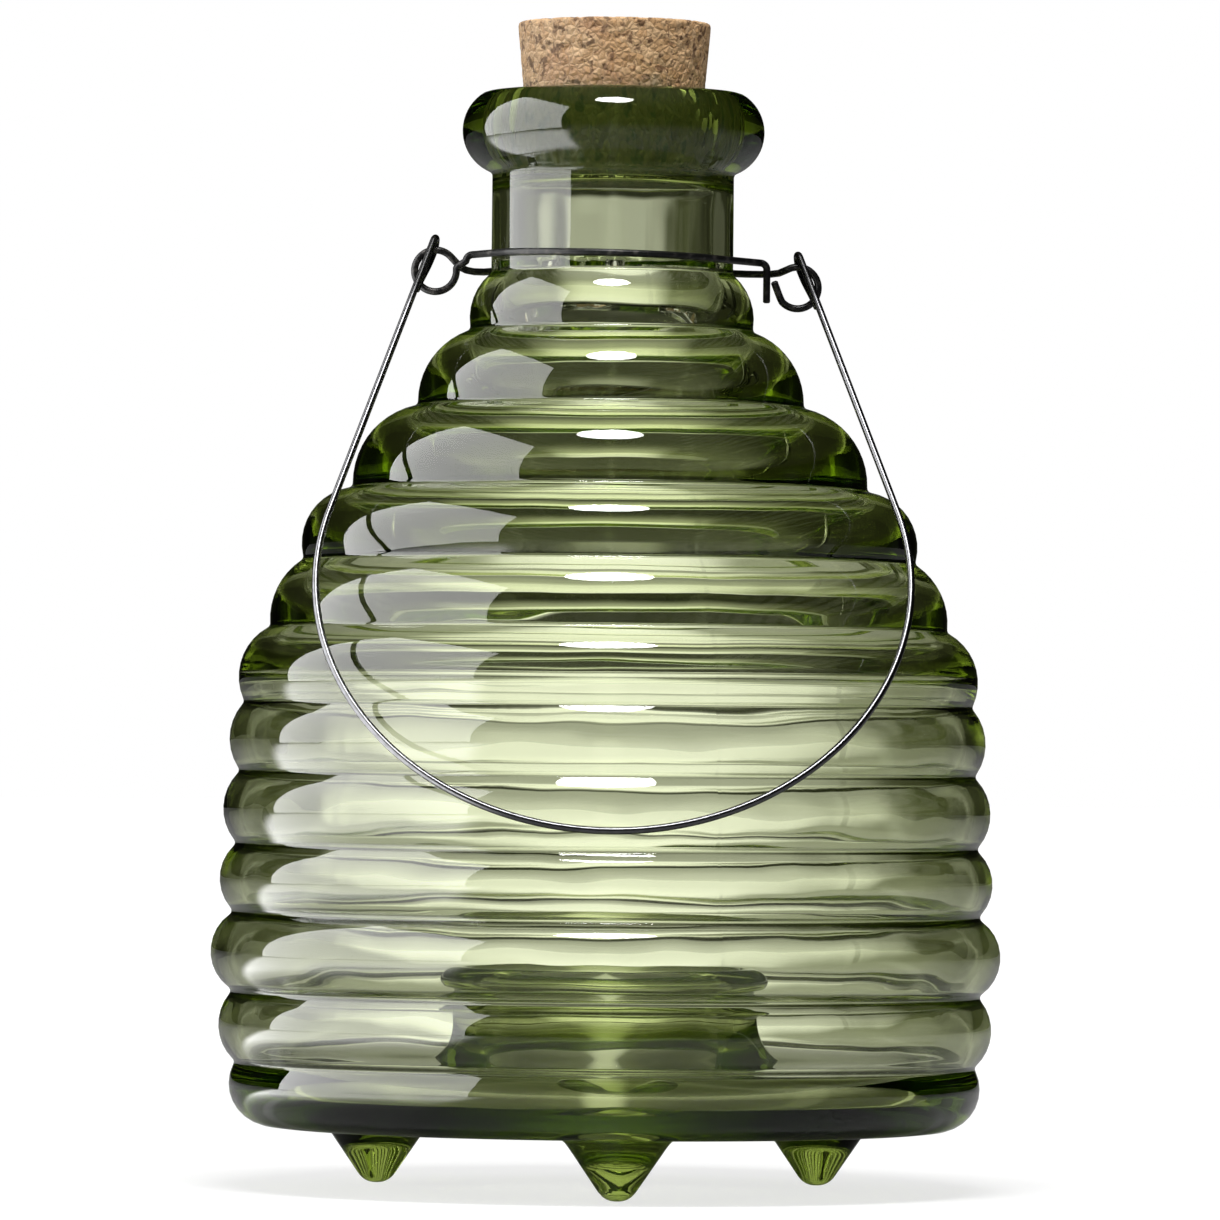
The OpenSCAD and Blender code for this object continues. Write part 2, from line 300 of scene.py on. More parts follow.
@dataclass(frozen=True)
class PressedCork:
    """Cork granules pressed into a stopper, with painted shade, tinted grey-green like the glass, where it
    sits in the neck.
    """

    grain: float = 850.0
    stir_grain: float = 300.0
    stir: float = 1.2 * MM
    pale: Colour = (0.72, 0.47, 0.25)
    warm: Colour = (0.56, 0.33, 0.15)
    dark: Colour = (0.10, 0.045, 0.02)
    rusty: Colour = (0.42, 0.2, 0.09)
    # Painted shade: colour of the part inside the neck, darkened and tinted the green of the glass round it.
    neck_shade: Colour = (0.1, 0.16, 0.13)
    neck_shade_from: float = 199 * MM
    neck_shade_to: float = 192 * MM
    neck_shade_edge: Cloud = Cloud(160.0, 4.0)
    neck_shade_ragged: float = 8 * MM
    neck_shade_share: float = 0.8
    shade_edge: Span = (0.1, 0.9)
    patch: Cloud = Cloud(110.0, 4.0, (0.5, 0.7))
    patch_share: float = 0.5
    speck: Cloud = Cloud(650.0, 6.0, (0.52, 0.64))
    speck_share: float = 0.8
    speck_rough: float = 0.2
    seam_width: float = 0.12
    seam_share: float = 0.2
    seam_relief: float = 2.0
    rough: float = 0.75
    relief: Cloud = Cloud(1500.0, 5.0)
    relief_depth: float = 0.4 * MM
    relief_strength: float = 0.6

    def material(self) -> Material:
        """The cork, each granule with its own shade and dark seams and specks between them.

        Returns:
            The material, ready to be put on a piece.
        """
        material, s = new_shader("pressed_cork")
        place = s.place()
        inputs = {"Vector": place, "Scale": self.stir_grain}
        warped = place + s.node("TexNoise", inputs=inputs, output="Color") * self.stir
        grains = s.cells(warped, self.grain, "F1", "Color")
        seams = s.cells(warped, self.grain, "DISTANCE_TO_EDGE", "Distance")
        shade = s.node("SeparateColor", inputs={"Color": grains})
        granules = s.mix(shade.rise(*self.shade_edge), self.warm, self.pale)
        body = s.mix(self.patch.on(place) * self.patch_share, granules, self.rusty)
        specks = self.speck.on(warped)
        seam = 1 - seams.rise(0.0, self.seam_width)
        marked = s.mix((specks * self.speck_share).most(seam * self.seam_share), body, self.dark)
        # Painted shade: below the neck's top the cork is mixed towards the dark grey-green, with a ragged
        # edge.
        _, _, height = s.axes(place)
        ragged = height + (self.neck_shade_edge.on(place) - 0.5) * self.neck_shade_ragged
        painted_neck_shade = (1 - ragged.rise(self.neck_shade_to, self.neck_shade_from)) * self.neck_shade_share
        relief = self.relief.on(place) + seams * self.seam_relief
        surface = s.node("BsdfPrincipled", inputs={
            "Base Color": s.mix(painted_neck_shade, marked, self.neck_shade),
            "Roughness": self.rough + specks * self.speck_rough,
            "Normal": s.bump(relief, self.relief_strength, self.relief_depth),
        })
        s.finish(Surface=surface)
        return material


@dataclass(frozen=True)
class BlackWire:
    """Black annealed iron wire."""

    body: Colour = (0.012, 0.012, 0.012)
    worn: Colour = (0.07, 0.065, 0.06)
    metal: float = 0.6
    rough: float = 0.34
    wear_rough: float = 0.2
    wear: Cloud = Cloud(700.0, 4.0, (0.5, 0.75))
    pits: Cloud = Cloud(2500.0)
    pit_depth: float = 0.1 * MM
    pit_strength: float = 0.3

    def material(self) -> Material:
        """The wire, with a thin grey wear and an uneven sheen.

        Returns:
            The material, ready to be put on a piece.
        """
        material, s = new_shader("black_wire")
        place = s.place()
        wear = self.wear.on(place)
        surface = s.node("BsdfPrincipled", inputs={
            "Base Color": s.mix(wear, self.body, self.worn),
            "Roughness": self.rough + wear * self.wear_rough,
            "Metallic": self.metal,
            "Normal": s.bump(self.pits.on(place), self.pit_strength, self.pit_depth),
        })
        s.finish(Surface=surface)
        return material


@dataclass(frozen=True)
class BrightWire:
    """Bright drawn steel wire, darker towards its upper ends."""

    steel: Colour = (0.12, 0.12, 0.125)
    # Colour of the darker upper ends.
    scale: Colour = (0.03, 0.03, 0.03)
    dark_from: float = 154 * MM
    dark_to: float = 163 * MM
    dark_edge: Cloud = Cloud(250.0)
    dark_ragged: float = 10 * MM
    dark_rough: float = 0.1
    rough: float = 0.2
    streak: Cloud = Cloud(900.0, 4.0)
    streak_edge: Span = (0.3, 0.8)
    streak_shade: float = 0.7
    streak_rough: float = 0.1
    streak_depth: float = 0.05 * MM
    streak_strength: float = 0.15

    def material(self) -> Material:
        """The wire, with drawing marks along it and darker ends.

        Returns:
            The material, ready to be put on a piece.
        """
        material, s = new_shader("bright_wire")
        place = s.place()
        _, _, height = s.axes(place)
        ragged = height + (self.dark_edge.on(place) - 0.5) * self.dark_ragged
        end = ragged.rise(self.dark_from, self.dark_to)
        streak = self.streak.on(place)
        shaded = tuple(self.streak_shade * c for c in self.steel)
        bright = s.mix(streak.rise(*self.streak_edge), self.steel, shaded)
        surface = s.node("BsdfPrincipled", inputs={
            "Base Color": s.mix(end, bright, self.scale),
            "Roughness": self.rough + streak * self.streak_rough + end * self.dark_rough,
            "Metallic": 1.0,
            "Normal": s.bump(streak, self.streak_strength, self.streak_depth),
        })
        s.finish(Surface=surface)
        return material


def unit(x: float, y: float) -> Point:
    """The direction of a plane vector."""
    length = math.hypot(x, y)
    return x / length, y / length


def meet(a: Point, ra: float, b: Point, rb: float) -> Point:
    """The point at distance ra from a and rb from b, on the left of the way from a to b.

    Args:
        a: First point.
        ra: Distance from the first point.
        b: Second point.
        rb: Distance from the second point.

    Returns:
        The point.
    """
    gap = math.dist(a, b)
    u = unit(b[0] - a[0], b[1] - a[1])
    along = (gap**2 + ra**2 - rb**2) / (2 * gap)
    side = math.sqrt(ra**2 - along**2)
    return a[0] + u[0] * along - u[1] * side, a[1] + u[1] * along + u[0] * side


def bearing(start: Point, end: Point) -> float:
    """The angle of the way from one point to another."""
    return math.atan2(end[1] - start[1], end[0] - start[0])


def arc(centre: Point, radius: float, start: float, end: float, turn: Turn, step: float) -> list[Point]:
    """Points along an arc.

    Args:
        centre: The arc's centre.
        radius: The arc's radius.
        start: Angle at which it starts.
        end: Angle at which it ends.
        turn: The way it is drawn.
        step: Longest stretch between two points.

    Returns:
        The points, both ends included.
    """
    sweep = (end - start) * turn.value % math.tau * turn.value
    count = max(ARC_PIECES, math.ceil(abs(sweep) * radius / step))
    angles = [start + sweep * k / count for k in range(count + 1)]
    return [(centre[0] + radius * math.cos(a), centre[1] + radius * math.sin(a)) for a in angles]


def beads(rounds: Sequence[tuple[Point, float]], hollow: float, start: float, step: float) -> list[Point]:
    """Points down a row of rounds that small grooves join.

    Args:
        rounds: Centre and radius of each round, from the top.
        hollow: Radius of the grooves.
        start: Angle at which the first round starts.
        step: Longest stretch between two points.

    Returns:
        The points, as far as the lowest point of the last round.
    """
    made = []
    for (upper, bend), (lower, lower_bend) in zip(rounds, rounds[1:]):
        groove = meet(upper, bend + hollow, lower, lower_bend + hollow)
        ends = bearing(groove, upper), bearing(groove, lower)
        made += arc(upper, bend, start, bearing(upper, groove), Turn.RIGHT, step)
        made += arc(groove, hollow, *ends, Turn.LEFT, step)
        start = bearing(lower, groove)
    return made + arc(*rounds[-1], start, -math.pi / 2, Turn.RIGHT, step)


def spread(start: float, end: float, step: float) -> list[float]:
    """Even values from start to end, no further apart than the step."""
    count = math.ceil(abs(end - start) / step)
    return [start + (end - start) * k / count for k in range(count + 1)]


def line(start: Point, end: Point, step: float) -> list[Point]:
    """Points along a straight line, both ends included.

    Args:
        start: First end.
        end: Last end.
        step: Longest stretch between two points.

    Returns:
        The points.
    """
    count = max(1, math.ceil(math.dist(start, end) / step))
    return [
        (start[0] + (end[0] - start[0]) * k / count, start[1] + (end[1] - start[1]) * k / count)
        for k in range(count + 1)
    ]


def rounded(edge: Point, before: Point, after: Point, count: int = 5) -> list[Point]:
    """A soft corner from before to after, bent towards the edge point.

    Args:
        edge: The sharp corner that is softened.
        before: Where the bend starts.
        after: Where the bend ends.
        count: Number of pieces.

    Returns:
        The points, both ends included.
    """
    made = []
    for k in range(count + 1):
        t = k / count
        weights = ((1 - t) ** 2, 2 * t * (1 - t), t**2)
        made.append(tuple(sum(w * p[i] for w, p in zip(weights, (before, edge, after))) for i in range(2)))
    return made


def through(knots: Sequence[Point], step: float) -> list[Point]:
    """Points along a smooth curve through the knots, both ends included.

    Args:
        knots: The points that the curve passes.
        step: Longest stretch between two points, roughly.

    Returns:
        The points.
    """
    made = [knots[0]]
    places = [np.array(k) for k in (knots[0], *knots, knots[-1])]
    for a, b, c, d in zip(places, places[1:], places[2:], places[3:]):
        count = max(CURVE_PIECES, math.ceil(np.linalg.norm(c - b) / step))
        for k in range(1, count + 1):
            t = k / count
            square = (a - 2.5 * b + 2 * c - d / 2) * t**2
            cube = (1.5 * (b - c) + (d - a) / 2) * t**3
            p = b + (c - a) / 2 * t + square + cube
            made.append((float(p[0]), float(p[1])))
    return made


def without_repeats(points: Iterable[Point], least: float) -> list[Point]:
    """The points of a closed outline, less those closer to the one before than the least distance.

    Args:
        points: The outline, in order.
        least: The least distance.

    Returns:
        The points that are kept.
    """
    kept: list[Point] = []
    for p in points:
        if not kept or math.dist(p, kept[-1]) > least:
            kept.append(p)
    if math.dist(kept[0], kept[-1]) <= least:
        kept.pop()
    return kept


def soft_least(a: np.ndarray, b: float, width: float) -> np.ndarray:
    """The lower of two heights, with a fillet where they cross."""
    near = np.maximum(width - np.abs(a - b), 0) / width
    return np.minimum(a, b) - near**2 * width / 4


def revolved(flat: np.ndarray, angles: np.ndarray) -> np.ndarray:
    """Turns rows of radius and height about the upright axis, with one copy of the rows at each angle.

    Args:
        flat: Rows of radius and height.
        angles: Where the copies stand, in radians.

    Returns:
        Rows of three coordinates, copy by copy.
    """
    return np.concatenate([
        np.column_stack([flat[:, 0] * math.cos(a), flat[:, 0] * math.sin(a), flat[:, 1]]) for a in angles
    ])


def left_of(along: np.ndarray) -> np.ndarray:
    """Directions square to the steps of a path, on its left.

    Args:
        along: The path's steps, as rows of radius and height.

    Returns:
        One row of length 1 for each step.
    """
    way = along / np.linalg.norm(along, axis=1)[:, None]
    return np.stack([-way[:, 1], way[:, 0]], axis=1)


def sheet(rows: int, columns: int, closed: tuple[bool, bool], flip: bool = False) -> list[tuple[int, ...]]:
    """Faces of a sheet of points that are numbered row by row.

    Args:
        rows: Number of rows.
        columns: Number of points in a row.
        closed: Whether the last row joins the first, and whether each row's last point joins its first.
        flip: Whether the faces look the other way.

    Returns:
        The point numbers of each face.
    """
    faces = []
    for j in range(rows if closed[0] else rows - 1):
        here, after = j * columns, (j + 1) % rows * columns
        for i in range(columns if closed[1] else columns - 1):
            k = (i + 1) % columns
            face = (here + i, here + k, after + k, after + i)
            faces.append((face[0], face[3], face[2], face[1]) if flip else face)
    return faces


def linked(name: str, data: ID) -> Object:
    """Makes an object of a mesh, lamp or camera and links it to the scene.

    Args:
        name: The object's name.
        data: The mesh, lamp or camera.

    Returns:
        The object.
    """
    made = bpy.data.objects.new(name, data)
    bpy.context.scene.collection.objects.link(made)
    return made


def aim_at(made: Object, place: Sequence[float], aim: Sequence[float], roll: float = 0.0) -> None:
    """Puts a lamp or camera at a place, facing a point and turned about that way by the roll.

    Args:
        made: The lamp or camera.
        place: Where it stands.
        aim: The point that it faces.
        roll: How far it is turned about its own view, in degrees.
    """
    start = Vector(place)
    facing = (Vector(aim) - start).to_track_quat("-Z", "Y").to_matrix()
    turn = facing @ Matrix.Rotation(math.radians(roll), 3, "Z")
    made.matrix_world = Matrix.Translation(start) @ turn.to_4x4()


def new_object(name: str, points: np.ndarray, faces: Sequence[Sequence[int]]) -> Object:
    """Makes a smooth mesh object from points in metres.

    Args:
        name: The piece's name.
        points: Vertex places, one row each.
        faces: Vertex numbers of each face.

    Returns:
        The object, linked to the scene.
    """
    mesh = bpy.data.meshes.new(name)
    mesh.from_pydata(points.tolist(), [], faces)
    mesh.polygons.foreach_set("use_smooth", [True] * len(mesh.polygons))
    mesh.validate()
    return linked(name, mesh)


def dress(piece: Object, body: Body, node: str, material: Material) -> None:
    """Gives a piece its finish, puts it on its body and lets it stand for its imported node.

    Args:
        piece: The finished object.
        body: The body that it moves with.
        node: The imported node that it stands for.
        material: Its finish.
    """
    piece.data.materials.append(material)
    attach(piece, body.value)
    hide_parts(node)
    LOG.info("%s: %d faces, on %s", piece.name, len(piece.data.polygons), body.value)


@dataclass
class Bottle:
    """The ringed glass bottle with its lip, entry tube and nub feet, in millimetres and degrees."""

    ring_z: tuple[float, ...] = (155.5, 140.5, 126, 115, 101.5, 91, 80, 67.5, 55, 42, 29, 18.5)
    ring_r: tuple[float, ...] = (25.4, 34.5, 46, 55, 60.5, 66, 67.5, 68.5, 69, 70.5, 69, 67)
    ring_bend: tuple[float, ...] = (10.5, 13.5, 14, 10, 12.5, 10, 9.5, 9, 8, 8, 8.5, 7.5)
    groove_round: float = 0.9
    wall: float = 3.0
    shoulder_wall: float = 2.6
    soft_groove: float = 1.2
    inner_ease: float = 1.8
    base_wall: float = 5.5
    corner_r: float = 6.0
    waist: int = 5
    neck_r: float = 21.6
    lip_r: float = 27.0
    lip_z: float = 189.0
    lip_bend: float = 7.9
    lip_top: float = 196.0
    lip_corner: float = 0.6
    lip_start: float = 108.0
    mouth_edge: float = 1.2
    throat_lead: float = 2.0
    waist_lead: float = 1.0
    entry_r: float = 23.0
    entry_wall: float = 4.0
    entry_top: float = 39.0
    entry_flare: float = 8.0
    entry_rim: float = 3.2
    entry_heel: float = 0.93
    foot_ring: float = 46.0
    foot_r: float = 9.7
    foot_round: float = 3.6
    foot_flat: float = 0.3
    foot_fillet: float = 1.6
    foot_turn: float = -87.0
    foot_count: int = 3
    seat_r: float = 14.75
    seat_slope: float = 0.0875
    seat_foot: float = 180.5
    seat_step: float = 1.0
    step: float = 1.75
    coarse: float = 2.3
    fine: float = 0.9
    fine_half: float = 14.0
    least_gap: float = 0.05
    inner_wave: float = 0.1
    outer_wave: float = 0.05
    neck_wave: float = 0.2
    body_stretch: tuple[float, ...] = (26, 26, 11)
    neck_stretch: tuple[float, ...] = (9, 9, 70)
    wave_shift: tuple[float, ...] = (7, 3, 11)
    wave_finer: float = 2.7
    wave_detail: float = 0.4

    def __post_init__(self) -> None:
        """Works out the centres of the rounds that the outline is made of."""
        self.base_z = self.ring_z[-1] - self.ring_bend[-1]
        self.throat = self.neck_r - self.wall
        self.lip_c = (self.lip_r - self.lip_bend, self.lip_z)
        self.rings = [(r - b, z) for r, b, z in zip(self.ring_r, self.ring_bend, self.ring_z)]
        self.neck_top = self._neck_round(self.lip_c, self.lip_bend, -1)
        self.neck_foot = self._neck_round(self.rings[0], self.ring_bend[0], 1)
        self.rounds = list(zip(self.rings, self.ring_bend))
        self.grooves = [
            meet(upper, bend + self.groove_round, lower, lower_bend + self.groove_round)
            for (upper, bend), (lower, lower_bend) in zip(self.rounds[:self.waist], self.rounds[1:])
        ]
        self.floor_z = self.base_z + self.base_wall
        self.tube_r = self.entry_r + self.entry_wall
        self.flare_c = (self.entry_r + self.entry_flare, self.base_z + self.entry_flare)
        self.heel_r = self.entry_heel * (self.entry_top - 2 * self.entry_rim - self.floor_z)
        self.heel_c = (self.tube_r + self.heel_r, self.floor_z + self.heel_r)
        self.rim_c = (self.entry_r + self.entry_rim, self.entry_top - self.entry_rim)
        under = self.tube_r + self.groove_round
        reach = self.entry_rim + self.groove_round
        self.under_rim = (under, self.rim_c[1] - math.sqrt(reach**2 - (under - self.rim_c[0]) ** 2))
        self.corner_c = (self.ring_r[-1] - self.wall - self.corner_r, self.floor_z + self.corner_r)
        ease = self.inner_ease
        rings = [((r - self.wall + ease, z), bend - ease) for (r, z), bend in self.rounds]
        self.inner_rings = [*rings[self.waist:-1], (self.corner_c, self.corner_r)]

    def _neck_round(self, centre: Point, bend: float, way: int) -> Point:
        """Centre of the round that joins the neck to a bead or ring, above it or below it."""
        r = self.neck_r + self.groove_round
        return r, centre[1] + way * math.sqrt((bend + self.groove_round) ** 2 - (r - centre[0]) ** 2)

    def _skin(self) -> list[Point]:
        """The outline of the outside from the neck down to the base.

        Returns:
            The points, from the top.
        """
        end, start = bearing(self.neck_foot, self.rings[0]), bearing(self.rings[0], self.neck_foot)
        foot = arc(self.neck_foot, self.groove_round, math.pi, end, Turn.LEFT, self.step)
        return foot + beads(self.rounds, self.groove_round, start, self.step)

    def _inside(self) -> list[Point]:
        """The inside of the wall from the neck down to the base: smooth in the shoulder, ringed below it.

        Returns:
            The points, from the top.
        """
        foot_z = self.neck_foot[1]
        depth = self.groove_round + self.shoulder_wall
        knots = [(self.throat, foot_z + self.throat_lead), (self.throat, foot_z)]
        for i, groove in enumerate(self.grooves):
            u = unit(self.rings[i + 1][0] - self.rings[i][0], self.rings[i + 1][1] - self.rings[i][1])
            knots.append((groove[0] + u[1] * depth, groove[1] - u[0] * depth))
        first, first_z = self.ring_r[self.waist] - self.wall, self.ring_z[self.waist]
        knots += [(first, first_z + self.waist_lead), (first, first_z)]
        return through(knots, self.step) + beads(self.inner_rings, self.soft_groove, 0.0, self.step)

    def _lip(self) -> list[Point]:
        """The outline from the mouth's edge over the lip's bead to the neck.

        Returns:
            The points, in order.
        """
        start, end = math.radians(self.lip_start), bearing(self.lip_c, self.neck_top)
        round_bead = np.array(arc(self.lip_c, self.lip_bend, start, end, Turn.RIGHT, self.step / 2))
        heights = soft_least(round_bead[:, 1], self.lip_top, self.lip_corner)
        bead = [*zip(round_bead[:, 0].tolist(), heights.tolist())]
        start = bearing(self.neck_top, self.lip_c)
        fillet = arc(self.neck_top, self.groove_round, start, math.pi, Turn.LEFT, self.step)
        edge = (self._seat(bead[0][1]), bead[0][1])
        low = edge[1] - self.mouth_edge
        return rounded(edge, (self._seat(low), low), bead[0]) + bead + fillet

    def _seat(self, z: float) -> float:
        """Radius of the cork's seat at a height."""
        return self.seat_r + self.seat_slope * (z - self.seat_foot)

    def outline(self) -> tuple[list[Point], list[bool]]:
        """The closed half section of the glass.

        Returns:
            The outline's points as radius and height, and for each whether it lies on the inside.
        """
        bore, rim, flare, heel = self.entry_r, self.rim_c, self.flare_c, self.heel_c
        outer_base = (self.rings[-1][0], self.base_z)
        half = math.pi / 2
        rim_end, under_start = bearing(rim, self.under_rim), bearing(self.under_rim, rim)
        step_foot = (self.throat, self.seat_foot - self.seat_step)
        seat_foot = (self.seat_r, self.seat_foot)
        outside = (
            self._lip()
            + line((self.neck_r, self.neck_top[1]), (self.neck_r, self.neck_foot[1]), self.step)
            + self._skin()
            + line(outer_base, (flare[0], self.base_z), self.step / 3)
        )
        inside = (
            arc(flare, self.entry_flare, -half, -math.pi, Turn.RIGHT, self.step)
            + line((bore, flare[1]), (bore, rim[1]), self.step)
            + arc(rim, self.entry_rim, math.pi, rim_end, Turn.RIGHT, self.step / 2)
            + arc(self.under_rim, self.groove_round, under_start, math.pi, Turn.LEFT, self.step / 2)
            + line((self.tube_r, self.under_rim[1]), (self.tube_r, heel[1]), self.step)
            + arc(heel, self.heel_r, math.pi, -half, Turn.LEFT, self.step)
            + line((heel[0], self.floor_z), (self.corner_c[0], self.floor_z), self.step)
            + self._inside()[::-1]
            + line((self.throat, self.neck_foot[1]), step_foot, self.step)
            + line(step_foot, seat_foot, self.step)
            + line(seat_foot, outside[0], self.step)
        )
        points = without_repeats(outside + inside, self.least_gap)
        count = len(without_repeats(outside, self.least_gap))
        return points, [k >= count for k in range(len(points))]

    def _angles(self) -> np.ndarray:
        """Angles of the revolved sections, closer together at the feet.

        Returns:
            The angles in radians.
        """
        made = []
        gap = 360 / self.foot_count
        fine = np.arange(-self.fine_half, self.fine_half, self.fine)
        rest = gap - 2 * self.fine_half
        count = math.ceil(rest / self.coarse)
        coarse = self.fine_half + rest * np.arange(count) / count
        for k in range(self.foot_count):
            made += [self.foot_turn + gap * k + a for a in (*fine, *coarse)]
        return np.radians(made)

    def _foot_height(self, gap: np.ndarray) -> np.ndarray:
        """Height of a nub foot's underside at a distance from its middle, with a fillet into the base.

        Args:
            gap: Distances from the foot's middle.

        Returns:
            The height at each distance.
        """
        edge = (self.foot_r, self.base_z)
        tip = (self.foot_flat, self.foot_round)
        way = (edge[0] - tip[0], edge[1] - tip[1])
        side = math.atan2(way[1], way[0]) - math.acos(self.foot_round / math.hypot(*way))
        touch = (tip[0] + self.foot_round * math.cos(side), tip[1] + self.foot_round * math.sin(side))
        slope = (edge[1] - touch[1]) / (edge[0] - touch[0])
        across = np.clip(gap - tip[0], 0, touch[0] - tip[0])
        ball = tip[1] - np.sqrt(self.foot_round**2 - across**2)
        cone = touch[1] + (gap - touch[0]) * slope
        return soft_least(np.where(gap < touch[0], ball, cone), self.base_z, self.foot_fillet)

    def _with_feet(self, points: np.ndarray) -> np.ndarray:
        """Pulls the nub feet out of the flat underside.

        Args:
            points: Places of the smooth bottle.

        Returns:
            The places with the feet.
        """
        under = np.abs(points[:, 2] - self.base_z) < HAIR
        for k in range(self.foot_count):
            a = math.radians(self.foot_turn + 360 * k / self.foot_count)
            middle = np.array([self.foot_ring * math.cos(a), self.foot_ring * math.sin(a)])
            gap = np.linalg.norm(points[:, :2] - middle, axis=1)
            near = under & (gap < self.foot_r + self.foot_fillet)
            points[near, 2] = self._foot_height(gap[near])
        return points

    def _waved(self, points: np.ndarray, normals: np.ndarray, inside: np.ndarray) -> np.ndarray:
        """Adds the slow unevenness that blown glass has, more on its inside.

        Args:
            points: Places of the smooth bottle.
            normals: Directions out of the glass.
            inside: For each place, whether it lies on the inside.

        Returns:
            The uneven places.
        """
        neck = points[:, 2] > self.neck_foot[1]
        depth = np.where(inside, np.where(neck, self.neck_wave, self.inner_wave), self.outer_wave)
        stretch = np.where(neck[:, None], 1 / np.array(self.neck_stretch), 1 / np.array(self.body_stretch))
        shift = Vector(self.wave_shift)
        wave = [
            noise.noise(Vector(p) + shift) + self.wave_detail * noise.noise(Vector(p) * self.wave_finer)
            for p in points * stretch
        ]
        return points + normals * (depth * np.array(wave))[:, None]

    def build(self) -> Object:
        """Revolves the outline, pulls out the feet and adds the unevenness.

        Returns:
            The bottle as one closed mesh.
        """
        outline, inner = self.outline()
        angles = self._angles()
        flat = np.array(outline)
        outward = left_of(np.roll(flat, -1, axis=0) - np.roll(flat, 1, axis=0))
        count, turns = len(flat), len(angles)
        points = self._with_feet(revolved(flat, angles))
        seat = (points[:, 2] > self.seat_foot - self.wall) & np.tile(inner, turns)
        still = seat | (np.abs(points[:, 2] - self.base_z) < self.wall / 2) | (points[:, 2] < self.base_z)
        moved = self._waved(points, revolved(outward, angles), np.tile(inner, turns))
        points = np.where(still[:, None], points, moved)
        return new_object("bottle_glass", points * MM, sheet(turns, count, (True, True)))


@dataclass
class Cork:
    """The tapered cork of pressed granules, in millimetres."""

    bottom_r: float = 14.9
    top_r: float = 17.35
    bottom_z: float = 180.5
    top_z: float = 208.5
    edge: float = 0.9
    step: float = 0.55
    turns: int = 190
    pit: float = 0.45
    skin: float = 0.05
    granule: float = 1.3
    seam_width: float = 0.22
    seam_depth: float = 0.05
    tear: float = 1.7
    tear_from: float = 0.2
    tear_gain: float = 1.6
    tear_fade: float = 1.0
    tear_finer: float = 2.0
    tear_layers: int = 3
    crown_dip: float = 0.1

    def build(self) -> Object:
        """Revolves the cork and roughens it with granules and small pits.

        Returns:
            The cork as one closed mesh.
        """
        slope = (self.top_r - self.bottom_r) / (self.top_z - self.bottom_z)
        low = (self.bottom_r + slope * self.edge, self.bottom_z + self.edge)
        high = (self.top_r - slope * self.edge, self.top_z - self.edge)
        foot = line((self.step, self.bottom_z), (self.bottom_r - self.edge, self.bottom_z), self.step)
        side = line(low, high, self.step)
        head = line((self.top_r - self.edge, self.top_z), (self.step, self.top_z), self.step)
        flat = np.array(
            foot
            + rounded((self.bottom_r, self.bottom_z), foot[-1], side[0])[1:-1]
            + side
            + rounded((self.top_r, self.top_z), side[-1], head[0])[1:-1]
            + head
        )
        angles = math.tau * np.arange(self.turns) / self.turns
        places = revolved(flat, angles)
        inward = revolved(left_of(np.gradient(flat, axis=0)), angles)
        depths = np.array([self._depth(Vector(p)) for p in places])
        middles = [(0, 0, self.bottom_z), (0, 0, self.top_z - self.crown_dip)]
        points = np.concatenate([places + inward * depths[:, None], middles])
        count, bottom, top = len(flat), len(places), len(places) + 1
        starts = [j * count for j in range(self.turns)]
        pairs = list(zip(starts, starts[1:] + starts[:1]))
        faces = sheet(self.turns, count, (True, False), flip=True)
        faces += [(b, a, bottom) for a, b in pairs]
        faces += [(a + count - 1, b + count - 1, top) for a, b in pairs]
        return new_object("cork", points * MM, faces)

    def _depth(self, place: Vector) -> float:
        """How far below the smooth cork a point lies: granules, seams and torn pits.

        Args:
            place: A point of the smooth cork.

        Returns:
            The depth.
        """
        near = noise.voronoi(place / self.granule)[0]
        seam = max(0.0, self.seam_width - (near[1] - near[0])) / self.seam_width
        rough = noise.fractal(place / self.tear, self.tear_fade, self.tear_finer, self.tear_layers)
        torn = max(0.0, rough - self.tear_from) * self.tear_gain
        return self.seam_depth * seam + min(self.pit, self.pit * torn) + self.skin


def swept(name: str, path: Sequence[Vector], diameter: float, sides: int = 14,
          tip_len: float = 0.3, tip_size: float = 0.6) -> Object:
    """Sweeps a round wire along a path in metres, with domed ends.

    Args:
        name: The piece's name.
        path: The wire's middle line.
        diameter: The wire's diameter.
        sides: Number of sides of its section.
        tip_len: How far each end stands out, in radii.
        tip_size: Radius of each end's flat, in radii.

    Returns:
        The wire as one closed mesh.
    """
    radius = diameter / 2
    first, final = (path[0] - path[1]).normalized(), (path[-1] - path[-2]).normalized()
    places = [path[0] + first * radius * tip_len, *path, path[-1] + final * radius * tip_len]
    sizes = [tip_size, *[1.0] * len(path), tip_size]
    side = Vector(OFF_AXIS)
    rows: list[Vector] = []
    for i, (place, size) in enumerate(zip(places, sizes)):
        way = (places[min(i + 1, len(places) - 1)] - places[max(i - 1, 0)]).normalized()
        side = (side - way * side.dot(way)).normalized()
        other = way.cross(side)
        for k in range(sides):
            a = math.tau * k / sides
            rows.append(place + (side * math.cos(a) + other * math.sin(a)) * radius * size)
    faces = sheet(len(places), sides, (False, True))
    faces += [tuple(range(sides - 1, -1, -1)), tuple(range((len(places) - 1) * sides, len(places) * sides))]
    return new_object(name, np.array([tuple(p) for p in rows]), faces)


def softened(path: Sequence[Vector], rounds: int = 2, share: float = 0.25) -> list[Vector]:
    """Cuts a path's corners again and again, so that it bends as wire does.

    Args:
        path: The wire's middle line.
        rounds: How often the corners are cut.
        share: Share of each stretch that a cut takes from its end.

    Returns:
        The softened line, with the same ends.
    """
    points = list(path)
    for _ in range(rounds):
        cut = [points[0]]
        for a, b in zip(points, points[1:]):
            cut += [a.lerp(b, share), a.lerp(b, 1 - share)]
        points = [*cut, points[-1]]
    return points


